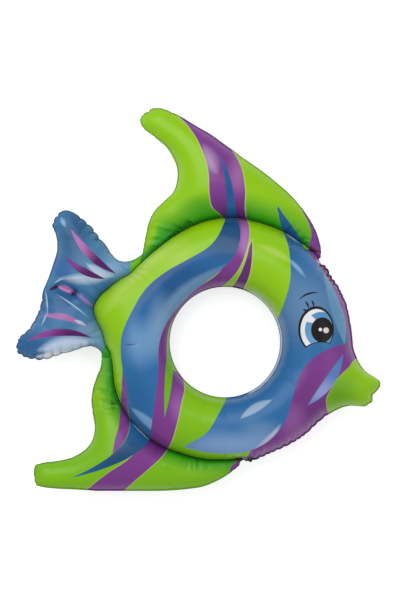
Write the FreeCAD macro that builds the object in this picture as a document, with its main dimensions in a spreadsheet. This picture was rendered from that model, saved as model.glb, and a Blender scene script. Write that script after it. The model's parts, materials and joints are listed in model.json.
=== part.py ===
import FreeCAD, Part

import math
import os

from FreeCAD import Placement, Rotation, Vector

# Inflatable fish-shaped swim ring, pumped up.
#
# Two printed PVC sheets are welded face to face along the outline, round the hole and along
# the arcs where the fins meet the ring. Each sheet is built here panel by panel, one panel for
# each air chamber and side, and neighbouring panels meet edge to edge on the weld. A panel is a
# film of even thickness: flat along its welds and bulged between them by the air. Its outer face
# runs over rows of points that stand on ribs, which are the straight lines from weld to weld, and
# the gores between two rows are folded flat.
# Two soft push-in valves with stoppers sit in the back sheet.
#
# Frame, in millimetres: the origin is the centre of the hole in the plane of the welds. +X points
# to the fish's head, +Y to its dorsal fin and +Z out of the front sheet.

SIZES = [
    ("film_thickness", 0.3, "PVC film of both sheets"),
    ("weld_width", 4.0, "flat margin of each panel along its welds"),
    ("hole_radius", 103.5, "free opening of the ring"),
    ("ring_radius", 226.0, "mean reach of the ring's outer weld from the origin"),
    ("ring_shift", 8.0, "how far the outer weld sits off centre, towards the forehead"),
    ("ring_oval", 6.0, "how far the outer weld is oval"),
    ("ring_fullness", 0.48, "height of the ring's crown over the width between its welds"),
    ("forehead_angle", 30.0, "direction of the forehead from the origin, in degrees from +X"),
    ("snout_angle", 342.0, "direction of the snout"),
    ("snout_length", 67.0, "how far the snout stands out of the ring"),
    ("snout_spread", 9.0, "half the snout's width, in degrees about the origin"),
    ("corner_angle", 166.0, "direction of the ring's corner in the tail"),
    ("corner_length", 34.0, "how far that corner stands out of the ring"),
    ("corner_spread_above", 13.0, "fall of the corner on the dorsal fin's side, in degrees"),
    ("corner_spread_below", 8.0, "fall of the corner on the anal fin's side, in degrees"),
    ("notch_angle", 190.0, "direction of the notch under the tail"),
    ("notch_depth", 9.0, "how far the ring is drawn in there"),
    ("notch_spread", 10.0, "fall of the notch on either side, in degrees"),
    ("fin_fullness", 0.35, "height of a narrow fin's crown over its width"),
    ("dorsal_reach", 277.0, "longest rib of the dorsal fin"),
    ("dorsal_height", 42.0, "crown height that the dorsal fin's wide part nears"),
    ("anal_reach", 256.0, "longest rib of the anal fin"),
    ("anal_height", 36.0, "crown height that the anal fin's wide part nears"),
    ("tail_reach", 168.0, "longest rib of the tail"),
    ("tail_height", 30.0, "crown height that the tail's wide part nears"),
    ("ring_valve_angle", 293.0, "direction of the ring's valve, which is in the nearest gore"),
    ("pad_radius", 13.0, "valve pad, welded to the film"),
    ("pad_thickness", 0.8, "valve pad"),
    ("stem_radius", 4.9, "outside of the valve stem"),
    ("stem_bore", 3.1, "radius of the air way in the stem"),
    ("stem_length", 15.0, "stem below its rim"),
    ("rim_radius", 6.5, "rim that stops the stem on the pad"),
    ("rim_thickness", 1.0, "rim of the stem"),
    ("slide_gap", 0.1, "clearance round the stem and round the stopper"),
    ("stopper_length", 7.0, "stopper below its cap"),
    ("cap_radius", 5.5, "cap of the stopper"),
    ("cap_thickness", 1.2, "cap of the stopper"),
    ("tab_length", 5.0, "thumb tab past the cap's edge"),
    ("tab_width", 5.0, "thumb tab"),
    ("ear_length", 1.5, "lugs that the strap grows out of"),
    ("strap_width", 3.6, "strap between stem and stopper"),
    ("strap_thickness", 0.8, "strap"),
    ("strap_leg", 7.0, "straight part of the folded strap"),
    ("flap_thickness", 0.5, "non-return flap on the stem's inner end"),
    ("flap_rim", 0.8, "how far the flap laps over the air way"),
    ("flap_lug_width", 3.0, "lug by which the flap hangs on the stem"),
]

# Ribs of the ring where no fin starts: round the chin and forehead, in degrees from +X, and close
# together across the snout, in degrees from its middle.
FACE_STATIONS = (288, 299, 310, 2, 12, 22, 32)
SNOUT_STATIONS = (-18, -13, -9, -5, 0, 4, 7, 10, 14)

# Ribs of each fin, in order along it: the point where the rib starts, its length as a share of
# the fin's reach, and its direction in degrees. A rib starts on the ring's weld at the given
# angle, or, where two numbers are given, that far in X and Y from the last point on the ring.
DORSAL_RIBS = (
    (42, 0.04, 62), (50, 0.12, 54), (60, 0.19, 52), (72, 0.28, 49), (84, 0.38, 48),
    (98, 0.51, 47), (112, 0.67, 45), (126, 0.85, 46), (138, 1.0, 49), ((12, 54), 0.82, 46),
    ((33, 98), 0.65, 45), ((63, 136), 0.46, 49), ((74, 173), 0.33, 63), ((61, 211), 0.24, 62),
    ((31, 242), 0.19, 52), ((8, 268), 0.14, 43),
)
ANAL_RIBS = (
    (278, 0.04, 262), (268, 0.15, 278), (256, 0.25, 282), (244, 0.32, 279), (232, 0.40, 274),
    (220, 0.52, 272), (208, 0.68, 272), (197, 0.84, 271), (186, 1.0, 270), ((-17, -28), 0.89, 272),
    ((-34, -73), 0.72, 275), ((-35, -123), 0.52, 272), ((-41, -170), 0.34, 265),
    ((-71, -194), 0.24, 271), ((-111, -202), 0.20, 285), ((-148, -210), 0.16, 293),
)
TAIL_RIBS = (
    (138, 0.06, 150), (144, 0.21, 125), (149, 0.42, 114), (153, 0.71, 111), (157, 1.0, 114),
    (161, 1.0, 120), (166, 0.77, 122), (170, 0.69, 138), (174, 0.72, 159), (176.5, 1.0, 187),
    (178, 0.93, 193), (179.5, 0.74, 194), (181, 0.43, 193), (183, 0.23, 190), (186, 0.06, 175),
)

HOLE_TRIM = 1.0                 # cut off the gores' straight inner edges to leave a round hole
CROWN_FLATS = 8                 # straight gores that draw the bulge of the film
RING_VALVE_FLAT = 2             # the ring's valve is on the slope that faces the hole
FIN_VALVE_RIB = 5               # the fins' valve is in the dorsal gore after this rib
FIN_VALVE_FLAT = CROWN_FLATS // 2

doc = FreeCAD.newDocument("fish_swim_ring")
sizes = doc.addObject("Spreadsheet::Sheet", "sizes")
for row, (alias, value, note) in enumerate(SIZES, start=1):
    sizes.set(f"A{row}", alias)
    sizes.set(f"B{row}", str(value))
    sizes.set(f"C{row}", note)
    sizes.setAlias(f"B{row}", alias)
doc.recompute()


# ---------------------------------------------------------------- shape of the film

def turn(angle, centre):
    """Signed angle from centre to angle, in degrees."""
    return (angle - centre + 180) % 360 - 180


def polar(radius, angle):
    """Point in the weld plane."""
    return Vector(radius * math.cos(math.radians(angle)), radius * math.sin(math.radians(angle)), 0)


def body_reach(angle):
    """Reach of the ring's outer weld without snout, corner and notch."""
    off = math.radians(turn(angle, sizes.forehead_angle))
    return sizes.ring_radius + sizes.ring_shift * math.cos(off) + sizes.ring_oval * math.cos(2 * off)


def ring_reach(angle):
    """Reach of the ring's outer weld from the origin."""
    snout = sizes.snout_length * math.exp(-(turn(angle, sizes.snout_angle) / sizes.snout_spread) ** 4)
    side = turn(angle, sizes.corner_angle)
    spread = sizes.corner_spread_above if side < 0 else sizes.corner_spread_below
    corner = sizes.corner_length * math.exp(-(side / spread) ** 2)
    notch = sizes.notch_depth * math.exp(-(turn(angle, sizes.notch_angle) / sizes.notch_spread) ** 2)
    return body_reach(angle) + snout + corner - notch


def crown(start, end, height):
    """Points of a bulge from start to end: a circular arc of film in gores, height over the weld."""
    middle = (start + end) * 0.5
    half = (end - start) * 0.5
    if height <= 0:
        shares = [(2 * step / CROWN_FLATS - 1, 0.0) for step in range(CROWN_FLATS + 1)]
    else:
        opening = 2 * math.atan(height / half.Length)
        angles = [opening * (2 * step / CROWN_FLATS - 1) for step in range(CROWN_FLATS + 1)]
        rise = half.Length / math.sin(opening)
        shares = [(math.sin(a) / math.sin(opening), rise * (math.cos(a) - math.cos(opening)))
                  for a in angles]
    return [middle + half * across + Vector(0, 0, up) for across, up in shares]


def film_rows(ribs):
    """Rows of points on a panel's outer face, one row on each rib: weld, bulge, weld."""
    rows = []
    for start, end, height in ribs:
        inset = (end - start).normalize() * sizes.weld_width
        row = [start] + crown(start + inset, end - inset, height - sizes.film_thickness) + [end]
        rows.append([point + Vector(0, 0, sizes.film_thickness) for point in row])
    return rows


def offset_rows(rows, gap, closed):
    """The rows moved by gap square to the face, or straight up at the open ends of a panel."""
    up = Vector(0, 0, 1)
    moved = []
    for number, row in enumerate(rows):
        normals = [up] * (len(row) + 1)
        if closed or 0 < number < len(rows) - 1:
            before = rows[number - 1]
            after = rows[(number + 1) % len(rows)]
            for step in range(len(row) - 1):
                across = after[step] + after[step + 1] - before[step] - before[step + 1]
                normal = across.cross(row[step + 1] - row[step]).normalize()
                normals[step + 1] = normal if normal.z > 0 else normal * -1
        moved.append([point + (one + other) * (gap / (1 + one.dot(other)))
                      for point, one, other in zip(row, normals, normals[1:])])
    return moved


def ring_rib(angle):
    """Rib of the ring at an angle: from inside the hole's edge to the outer weld, and its height."""
    start = polar(sizes.hole_radius - HOLE_TRIM, angle)
    end = polar(ring_reach(angle), angle)
    width = body_reach(angle) - sizes.hole_radius - 2 * sizes.weld_width
    return start, end, sizes.ring_fullness * width


def fin_ribs(ribs, reach, height):
    """Ribs of a fin as start, end and height, welded flat at its first and its last rib."""
    placed = []
    corner = None
    for number, (root, share, direction) in enumerate(ribs):
        if isinstance(root, tuple):
            start = corner + Vector(root[0], root[1], 0)
        else:
            start = polar(ring_reach(root), root)
            corner = start
        length = share * reach
        width = length - 2 * sizes.weld_width
        bulge = height * math.tanh(sizes.fin_fullness * width / height)
        at_end = number in (0, len(ribs) - 1)
        placed.append((start, start + polar(length, direction), 0 if at_end else bulge))
    return placed


def flats(here, there):
    """Triangles between two rows, with each gore folded along the same diagonal."""
    faces = []
    for step in range(len(here) - 1):
        corners = [here[step], here[step + 1], there[step + 1], there[step]]
        faces.append(Part.Face(Part.makePolygon([corners[0], corners[1], corners[2], corners[0]])))
        faces.append(Part.Face(Part.makePolygon([corners[0], corners[2], corners[3], corners[0]])))
    return faces


def gored_solid(upper, lower, closed):
    """Solid between the upper and the lower rows."""
    faces = []
    count = len(upper)
    for number in range(count if closed else count - 1):
        following = (number + 1) % count
        faces += flats(upper[number], upper[following])
        faces += flats(lower[number], lower[following])
        for edge in (0, -1):
            faces += flats([upper[number][edge], lower[number][edge]],
                           [upper[following][edge], lower[following][edge]])
    if not closed:
        faces += flats(upper[0], lower[0]) + flats(upper[-1], lower[-1])
    shell = Part.Shell(faces)
    shell.sewShape()
    solid = Part.Solid(shell)
    if solid.Volume < 0:
        solid.reverse()
    return solid


def film_panel(name, rows, closed):
    """Panel of film under its rows."""
    panel = doc.addObject("Part::Feature", name)
    panel.Shape = gored_solid(rows, offset_rows(rows, -sizes.film_thickness, closed), closed)
    return panel


def mirrored(name, source):
    """The same panel in the back sheet."""
    back = doc.addObject("Part::Mirroring", name)
    back.Source = source
    back.Normal = Vector(0, 0, 1)
    return back


# ---------------------------------------------------------------- bound primitives

def cylinder(name, radius, height, bottom):
    """Upright cylinder on the Z axis; its sizes are expressions of the sheet."""
    item = doc.addObject("Part::Cylinder", name)
    item.setExpression("Radius", radius)
    item.setExpression("Height", height)
    item.setExpression("Placement.Base.z", bottom)
    return item


def box(name, length, width, height, left, bottom):
    """Box from left along X, centred in Y; its sizes are expressions of the sheet."""
    item = doc.addObject("Part::Box", name)
    item.setExpression("Length", length)
    item.setExpression("Width", width)
    item.setExpression("Height", height)
    item.setExpression("Placement.Base.x", left)
    item.setExpression("Placement.Base.y", f"-({width}) / 2")
    item.setExpression("Placement.Base.z", bottom)
    return item


def cut(name, base, tool):
    """Base less tool, with its facets left as they are."""
    item = doc.addObject("Part::Cut", name)
    item.Base = base
    item.Tool = tool
    item.Refine = False
    return item


def fused(name, shapes):
    item = doc.addObject("Part::MultiFuse", name)
    item.Shapes = shapes
    item.Refine = True
    return item


# ---------------------------------------------------------------- panels of the two sheets

fin_stations = {rib[0] for rib in DORSAL_RIBS + ANAL_RIBS + TAIL_RIBS if not isinstance(rib[0], tuple)}
snout_stations = {(sizes.snout_angle + offset) % 360 for offset in SNOUT_STATIONS}
ring_angles = sorted(fin_stations | snout_stations | set(FACE_STATIONS))
ring_rows = film_rows([ring_rib(angle) for angle in ring_angles])
dorsal_rows = film_rows(fin_ribs(DORSAL_RIBS, sizes.dorsal_reach, sizes.dorsal_height))
anal_rows = film_rows(fin_ribs(ANAL_RIBS, sizes.anal_reach, sizes.anal_height))
tail_rows = film_rows(fin_ribs(TAIL_RIBS, sizes.tail_reach, sizes.tail_height))

hole = doc.addObject("Part::Cylinder", "hole")
hole.setExpression("Radius", "sizes.hole_radius")
hole.setExpression("Height", "sizes.film_thickness * 4")
hole.setExpression("Placement.Base.z", "-sizes.film_thickness * 2")

ring_front = cut("ring_front", film_panel("ring_sheet", ring_rows, True), hole)
dorsal_front = film_panel("dorsal_fin_front", dorsal_rows, False)
anal_front = film_panel("anal_fin_front", anal_rows, False)
tail_front = film_panel("tail_front", tail_rows, False)


# ---------------------------------------------------------------- valves

def valve_seat(rows, index, flat):
    """Placement on the back sheet, in the middle of one flat of the gore after a row, +Z outwards."""
    here = rows[index]
    there = rows[(index + 1) % len(rows)]
    corners = [here[flat + 1], here[flat + 2], there[flat + 2], there[flat + 1]]
    spot = (corners[0] + corners[1] + corners[2] + corners[3]) * 0.25
    normal = (corners[2] - corners[0]).cross(corners[3] - corners[1])
    if normal.z < 0:
        normal = normal * -1
    return Placement(Vector(spot.x, spot.y, -spot.z),
                     Rotation(Vector(0, 0, 1), Vector(normal.x, normal.y, -normal.z)))


def valve_pad(name, rows, index, closed, seat):
    """Round pad that follows the back sheet, with a bore for the stem and level under its rim."""
    grown = offset_rows(rows, sizes.pad_thickness, closed)
    gores = [(index + step) % len(rows) for step in (-1, 0, 1, 2)]
    layer = gored_solid([grown[gore] for gore in gores], [rows[gore] for gore in gores], False)
    depth = sizes.pad_radius
    disc = Part.makeCylinder(sizes.pad_radius, depth + sizes.pad_thickness, Vector(0, 0, -depth))
    bore = Part.makeCylinder(sizes.stem_radius + sizes.slide_gap, 3 * depth, Vector(0, 0, -1.5 * depth))
    disc = disc.cut(bore)
    disc.Placement = seat
    pad = doc.addObject("Part::Feature", name)
    pad.Shape = disc.common(layer.mirror(Vector(0, 0, 0), Vector(0, 0, 1)))
    return pad


def valve_stem(name):
    """Tube with a stop rim and a lug for the strap; its rim sits on the pad."""
    tube = cylinder(name + "_tube", "sizes.stem_radius",
                    "sizes.stem_length + sizes.pad_thickness", "-sizes.stem_length")
    rim = cylinder(name + "_rim", "sizes.rim_radius", "sizes.rim_thickness", "sizes.pad_thickness")
    ear = box(name + "_ear", "sizes.rim_radius + sizes.ear_length", "sizes.strap_width",
              "sizes.rim_thickness", "0", "sizes.pad_thickness")
    air_way = cylinder(name + "_air_way", "sizes.stem_bore",
                       "sizes.stem_length * 2 + sizes.rim_thickness * 4", "-sizes.stem_length * 1.5")
    return cut(name, fused(name + "_solid", [tube, rim, ear]), air_way)


def valve_stopper(name):
    """Stopper whose cap closes on the stem's rim, with a thumb tab and a lug for the strap."""
    under = "sizes.pad_thickness + sizes.rim_thickness"
    shank = cylinder(name + "_shank", "sizes.stem_bore - sizes.slide_gap",
                     "sizes.stopper_length", under + " - sizes.stopper_length")
    cap = cylinder(name + "_cap", "sizes.cap_radius", "sizes.cap_thickness", under)
    tab = box(name + "_tab", "sizes.cap_radius + sizes.tab_length", "sizes.tab_width",
              "sizes.cap_thickness", "-sizes.cap_radius - sizes.tab_length", under)
    ear = box(name + "_ear", "sizes.rim_radius + sizes.ear_length", "sizes.strap_width",
              "sizes.strap_thickness", "0", under + " + sizes.cap_thickness - sizes.strap_thickness")
    return fused(name, [shank, cap, tab, ear])


def valve_strap(name):
    """Strap from the stem's lug round to the stopper's lug, folded while the stopper is in."""
    start = sizes.rim_radius + sizes.ear_length
    bend = start + sizes.strap_leg
    low = sizes.pad_thickness
    high = sizes.pad_thickness + sizes.rim_thickness + sizes.cap_thickness
    centre = (low + high) / 2
    outer = (high - low) / 2
    inner = outer - sizes.strap_thickness
    side = -sizes.strap_width / 2

    def at(x, z):
        return Vector(x, side, z)

    edges = [
        Part.LineSegment(at(start, low), at(bend, low)),
        Part.Arc(at(bend, low), at(bend + outer, centre), at(bend, high)),
        Part.LineSegment(at(bend, high), at(start, high)),
        Part.LineSegment(at(start, high), at(start, centre + inner)),
        Part.LineSegment(at(start, centre + inner), at(bend, centre + inner)),
        Part.Arc(at(bend, centre + inner), at(bend + inner, centre), at(bend, centre - inner)),
        Part.LineSegment(at(bend, centre - inner), at(start, centre - inner)),
        Part.LineSegment(at(start, centre - inner), at(start, low)),
    ]
    face = Part.Face(Part.Wire([edge.toShape() for edge in edges]))
    strap = doc.addObject("Part::Feature", name)
    strap.Shape = face.extrude(Vector(0, sizes.strap_width, 0))
    return strap


def valve_flap(name):
    """Disc that air pressure holds against the stem's inner end, with its hinge lug."""
    bottom = "-sizes.stem_length - sizes.flap_thickness"
    disc = cylinder(name + "_disc", "sizes.stem_bore + sizes.flap_rim", "sizes.flap_thickness", bottom)
    lug = box(name + "_lug", "sizes.stem_radius", "sizes.flap_lug_width", "sizes.flap_thickness",
              "-sizes.stem_radius", bottom)
    return fused(name, [disc, lug])


def valve(prefix, rows, index, flat, closed):
    """All pieces of one valve, seated in the back sheet."""
    seat = valve_seat(rows, index, flat)
    pieces = {
        "stem": valve_stem(prefix + "_valve_stem"),
        "stopper": valve_stopper(prefix + "_valve_stopper"),
        "strap": valve_strap(prefix + "_valve_strap"),
        "flap": valve_flap(prefix + "_valve_flap"),
    }
    for piece in pieces.values():
        piece.Placement = seat
    pad = valve_pad(prefix + "_valve_pad", rows, index, closed, seat)
    opening = doc.addObject("Part::Cylinder", prefix + "_valve_opening")
    opening.setExpression("Radius", "sizes.stem_radius + sizes.slide_gap")
    opening.setExpression("Height", "sizes.pad_radius * 2")
    opening.Placement = seat.multiply(Placement(Vector(0, 0, -sizes.pad_radius), Rotation()))
    return list(pieces.values()) + [pad], opening


ring_valve_rib = sum(angle < sizes.ring_valve_angle for angle in ring_angles) - 1
ring_valve, ring_opening = valve("ring", ring_rows, ring_valve_rib, RING_VALVE_FLAT, True)
fin_valve, fin_opening = valve("fin", dorsal_rows, FIN_VALVE_RIB, FIN_VALVE_FLAT, False)

ring_back = cut("ring_back", mirrored("ring_back_sheet", ring_front), ring_opening)
dorsal_back = cut("dorsal_fin_back", mirrored("dorsal_fin_back_sheet", dorsal_front), fin_opening)
anal_back = mirrored("anal_fin_back", anal_front)
tail_back = mirrored("tail_back", tail_front)


# ---------------------------------------------------------------- check and export

nodes = [ring_front, ring_back, dorsal_front, dorsal_back, anal_front, anal_back,
         tail_front, tail_back] + ring_valve + fin_valve
doc.recompute()
for item in doc.Objects:
    if {"Invalid", "Error"} & set(item.State):
        raise RuntimeError(f"{item.Name} failed: {item.State}")
for node in nodes:
    node.Label = node.Name
    if node.Shape.isNull() or not node.Shape.isValid() or len(node.Shape.Solids) != 1:
        raise RuntimeError(f"{node.Label} is not one valid solid")

os.makedirs("parts", exist_ok=True)
for node in nodes:
    node.Shape.exportStep(f"parts/{node.Label}.step")
    print(f"{node.Label}: {node.Shape.Volume:.1f} mm3")
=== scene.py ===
import json
import math
import random

import bmesh
import bpy
import numpy as np
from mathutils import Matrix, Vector
from mathutils.kdtree import KDTree


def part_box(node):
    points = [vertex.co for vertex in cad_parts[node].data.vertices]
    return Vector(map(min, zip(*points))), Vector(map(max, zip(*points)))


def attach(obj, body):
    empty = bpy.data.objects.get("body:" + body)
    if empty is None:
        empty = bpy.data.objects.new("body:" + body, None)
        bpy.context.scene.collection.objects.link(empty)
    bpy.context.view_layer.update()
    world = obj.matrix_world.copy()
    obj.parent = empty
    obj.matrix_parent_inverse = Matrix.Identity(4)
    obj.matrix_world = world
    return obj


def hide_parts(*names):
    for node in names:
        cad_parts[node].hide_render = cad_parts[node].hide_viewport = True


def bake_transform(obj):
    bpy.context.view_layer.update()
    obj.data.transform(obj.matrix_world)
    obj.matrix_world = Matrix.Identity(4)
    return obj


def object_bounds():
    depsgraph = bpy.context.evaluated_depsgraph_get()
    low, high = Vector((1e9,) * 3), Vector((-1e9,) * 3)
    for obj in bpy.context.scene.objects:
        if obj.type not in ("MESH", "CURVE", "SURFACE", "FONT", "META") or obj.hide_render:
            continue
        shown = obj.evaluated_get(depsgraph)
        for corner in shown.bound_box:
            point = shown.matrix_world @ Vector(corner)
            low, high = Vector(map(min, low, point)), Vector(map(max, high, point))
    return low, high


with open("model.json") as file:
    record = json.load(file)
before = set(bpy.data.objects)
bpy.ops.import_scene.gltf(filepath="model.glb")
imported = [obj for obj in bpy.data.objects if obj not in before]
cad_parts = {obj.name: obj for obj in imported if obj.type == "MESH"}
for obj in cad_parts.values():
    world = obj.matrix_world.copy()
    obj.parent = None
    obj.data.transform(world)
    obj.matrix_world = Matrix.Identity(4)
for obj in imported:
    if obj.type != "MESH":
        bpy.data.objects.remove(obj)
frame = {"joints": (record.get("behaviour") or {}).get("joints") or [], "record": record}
solid_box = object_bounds()


# ------------------------------------------------------------------ the ring and the fish's head
# The biggest air chamber: a tube round the opening that swells into the head and the snout. Two
# sheets of printed PVC film are welded flat along the outline and round the hole; the air draws
# the film up between the welds and gathers it in short folds that run off them.

FILM = 0.0003                       # thickness of one sheet
hole_radius = frame["record"]["mounts"][0]["dims"]["r_mm"] / 1000
ring_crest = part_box("ring_front")[1].z

# outer weld, as (direction from the middle of the hole in degrees, reach in millimetres)
ring_outline = (
    (0, 240), (8, 238.5), (20, 239.5), (33, 236.5), (37.2, 237.5), (39.5, 234), (43, 235.5), (49, 234.5),
    (61, 233.5), (75, 232.5), (88, 233), (98, 230), (111, 222), (128, 215), (139, 216), (144, 218),
    (149, 228), (156, 241), (161, 250.5), (165.8, 252.5), (170, 244), (175.5, 229), (180, 224),
    (186, 214.5), (193, 215), (201, 221), (214, 227), (224, 228), (238, 227), (250, 223), (261, 221.5),
    (273, 219.5), (278, 221), (281.7, 231), (284.5, 229), (293, 226), (302, 227.5), (309.9, 230.5),
    (315.4, 230.5), (320, 232), (325.5, 238), (329, 246), (331.7, 255.5), (333.6, 268), (334.6, 281),
    (335.2, 288.5), (335.9, 292.5), (336.7, 293.5), (337.4, 297), (338.3, 298.5), (339.4, 296),
    (340.6, 295.5), (341.8, 299), (343.3, 302), (344.8, 303), (345.9, 300), (346.6, 293), (347.3, 281),
    (348.1, 271.5), (349.3, 263.5), (350.8, 256.5), (354, 247.5), (357.2, 241.5),
)


def flow(stations, values, at):
    """Smooth curve through values at rising stations."""
    stations = np.asarray(stations, float)
    values = np.asarray(values, float)
    slopes = np.gradient(values, stations, axis=0)
    place = np.clip(np.searchsorted(stations, at, side="right") - 1, 0, len(stations) - 2)
    step = stations[place + 1] - stations[place]
    share = (at - stations[place]) / step
    if values.ndim > 1:
        step, share = step[:, None], share[:, None]
    return (values[place] * (1 + 2 * share) * (1 - share) ** 2
            + values[place + 1] * share ** 2 * (3 - 2 * share)
            + step * (slopes[place] * share * (1 - share) ** 2
                      - slopes[place + 1] * share ** 2 * (1 - share)))


def around(angles, reach):
    """Points on the weld plane at these directions and reaches."""
    turn = np.radians(angles)
    return np.stack([np.cos(turn) * reach, np.sin(turn) * reach], axis=-1)


def ring_weld(angles):
    """Points of the ring's outer weld, in metres."""
    lap = 3                         # stations repeated past either end, so that the curve closes
    turns = ([(a - 360, r) for a, r in ring_outline[-lap:]] + list(ring_outline)
             + [(a + 360, r) for a, r in ring_outline[:lap]])
    stations, reaches = zip(*turns)
    return around(angles, flow(stations, reaches, np.asarray(angles, float)) / 1000)


def run_along(points):
    """Length along a row of points, from its start."""
    steps = np.linalg.norm(np.diff(points, axis=0), axis=1)
    return np.concatenate([[0], np.cumsum(steps)])


def lay(near, far, near_weld, far_weld, rows):
    """Flat sheet on ribs from near to far: points, distances to either end, and which are welded."""
    most_weld = 0.3                 # share of a short rib that one weld can take up
    evenness = 0.3                  # at 1 the rows are evenly spaced, at 0 they draw in to the welds
    weld_rows = np.array([0, 0.25, 0.7])
    least_width = 1e-6
    width = np.maximum(np.linalg.norm(far - near, axis=1), least_width)
    across = (far - near) / width[:, None]
    near_weld = np.minimum(near_weld, most_weld * width)
    far_weld = np.minimum(far_weld, most_weld * width)
    step = np.linspace(0, 1, rows)
    step = evenness * step + (1 - evenness) / 2 * (1 - np.cos(np.pi * step))
    film = near_weld[:, None] + (width - near_weld - far_weld)[:, None] * step
    gap = np.concatenate([near_weld[:, None] * weld_rows, film,
                          width[:, None] - far_weld[:, None] * weld_rows[::-1]], axis=1)
    welded = np.zeros(gap.shape, bool)
    welded[:, :len(weld_rows) + 1] = True
    welded[:, -len(weld_rows) - 1:] = True
    return near[:, None, :] + across[:, None, :] * gap[:, :, None], gap, width[:, None] - gap, welded


def puff(plan, welded, closed=False):
    """How far air draws a slack sheet out of its plan where it is free, as in a tube of that width.

    The sheet's triangles are a membrane under even pressure, settled by conjugate gradients."""
    least_area, settled = 1e-9, 1e-10
    count = welded.size
    spot = np.arange(count).reshape(welded.shape)
    if closed:
        spot[-1] = spot[0]
    a, b, c, d = (corner.ravel() for corner in (spot[:-1, :-1], spot[1:, :-1], spot[1:, 1:], spot[:-1, 1:]))
    corners = np.concatenate([np.stack([a, b, c]), np.stack([a, c, d])], axis=1)
    flat = plan.reshape(-1, 2)
    load = np.zeros(count)
    pulls = []
    for k in range(3):
        here, left, right = corners[k], corners[k - 1], corners[k - 2]
        u, v = flat[left] - flat[here], flat[right] - flat[here]
        area = np.maximum(np.abs(u[:, 0] * v[:, 1] - u[:, 1] * v[:, 0]), least_area)
        pulls.append((left, right, (u * v).sum(axis=1) / area / 2))
        load += np.bincount(here, area / 6, count)
    left, right, pull = (np.concatenate(rows) for rows in zip(*pulls))
    free = ~welded.ravel()
    stiff = np.bincount(left, pull, count) + np.bincount(right, pull, count)
    stiff = np.where(free & (stiff > 0), stiff, 1)

    def tension(rise):
        force = pull * (rise[left] - rise[right])
        return (np.bincount(left, force, count) - np.bincount(right, force, count)) * free

    rise = np.zeros(count)
    rest = load * free
    eased = rest / stiff
    move = eased.copy()
    left_over = rest @ eased
    start = left_over
    while left_over > settled * start:
        force = tension(move)
        share = left_over / (move @ force)
        rise += share * move
        rest -= share * force
        eased = rest / stiff
        before, left_over = left_over, rest @ eased
        move = eased + left_over / before * move
    rise = np.sqrt(2 * np.maximum(rise, 0)).reshape(welded.shape)
    if closed:
        rise[-1] = rise[0]
    return rise


def level(values, reach, closed=False):
    """Running mean of a row of values over a few neighbours on either side."""
    around_them = np.pad(values, reach, mode="wrap" if closed else "edge")
    return np.convolve(around_them, np.full(2 * reach + 1, 1 / (2 * reach + 1)), mode="valid")


def gap_to(line, plan):
    """Distance of each point of a sheet's plan from a line of points."""
    line_step = 0.0007
    run = run_along(line)
    at = np.linspace(0, run[-1], int(run[-1] / line_step))
    tree = KDTree(len(at))
    for number, spot in enumerate(zip(*(np.interp(at, run, line[:, k]) for k in (0, 1)))):
        tree.insert((*spot, 0), number)
    tree.balance()
    return np.array([tree.find((*spot, 0))[2] for spot in plan.reshape(-1, 2)]).reshape(plan.shape[:2])


def folds_off(line, stations, side, groups, seed):
    """Folds that run off a line to one side: start, direction, depth, reach and width of each.

    A group is (from, to, spacing, depth, reach, lean), with its ends at stations of the line and its
    lean in degrees. Each fold strays a little from its group's place, lean, depth and reach."""
    widest = 0.0030
    run = run_along(line)
    ahead = np.gradient(line, axis=0)
    draw = random.Random(seed)
    made = []
    for start, end, spacing, depth, reach, lean in groups:
        place, last = np.interp((start, end), stations, run)
        place += spacing * draw.uniform(0, 0.4)
        while place <= last:
            spot = np.array([np.interp(place, run, line[:, k]) for k in (0, 1)])
            way = math.atan2(*(np.interp(place, run, ahead[:, k]) for k in (1, 0)))
            way += math.radians(90 * side + lean + draw.uniform(-8, 8))
            made.append((spot, np.array((math.cos(way), math.sin(way))), depth * draw.uniform(0.65, 1.25),
                         reach * draw.uniform(0.65, 1.3), min(0.25 * spacing, widest)))
            place += spacing * draw.uniform(0.7, 1.35)
    return made


def creases(*lines):
    """Single sharp folds between two points in millimetres; a negative depth stands up as a ridge."""
    width = 0.0021
    ends = [(np.array(start) / 1000, np.array(end) / 1000, depth / 1000) for start, end, depth in lines]
    return [(start, (end - start) / np.linalg.norm(end - start), depth, np.linalg.norm(end - start), width)
            for start, end, depth in ends]


def fold_in(points, folds, edge_folds=()):
    """Draw a sheet in along its folds, and pull its free edge in where the edge's own folds start."""
    deepest_at = 0.26               # share of its reach at which a fold is deepest
    twice_as_wide = 0.05            # how far out a fold has opened to double width
    roundness = 1.4                 # of a fold's section: 1 is a sharp crease, 2 a round one
    most_depth = 0.5                # share of the film's height that folds can take
    tuck, tuck_width, tuck_reach = 0.9, 0.0024, 0.009
    plan = points[:, :, :2]
    depth_here = np.zeros(plan.shape[:2])
    pull_here = np.zeros(plan.shape)
    for spot, way, depth, reach, width in list(folds) + list(edge_folds):
        out = np.maximum((plan - spot) @ way, 0)
        off = np.abs((plan - spot) @ np.array((-way[1], way[0])))
        near = out / (reach * deepest_at)
        section = np.exp(-(off / (width * (1 + out / twice_as_wide))) ** roundness)
        depth_here += depth * section * near * np.exp(1 - near)
    for spot, way, depth, _, _ in edge_folds:
        out, off = np.abs((plan - spot) @ way), np.abs((plan - spot) @ np.array((-way[1], way[0])))
        pull_here += (tuck * depth * np.exp(-off / tuck_width - out / tuck_reach))[:, :, None] * way
    depth_here = np.minimum(depth_here, most_depth * points[:, :, 2])
    points = points - face_directions(points) * depth_here[:, :, None]
    points[:, :, :2] += pull_here
    return points


def face_directions(points):
    """Unit normals of a sheet of points, turned to the front."""
    up = np.cross(np.gradient(points, axis=0), np.gradient(points, axis=1))
    up *= np.where(up[:, :, 2:].sum() < 0, -1, 1)
    return up / np.maximum(np.linalg.norm(up, axis=2, keepdims=True), 1e-12)


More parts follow.
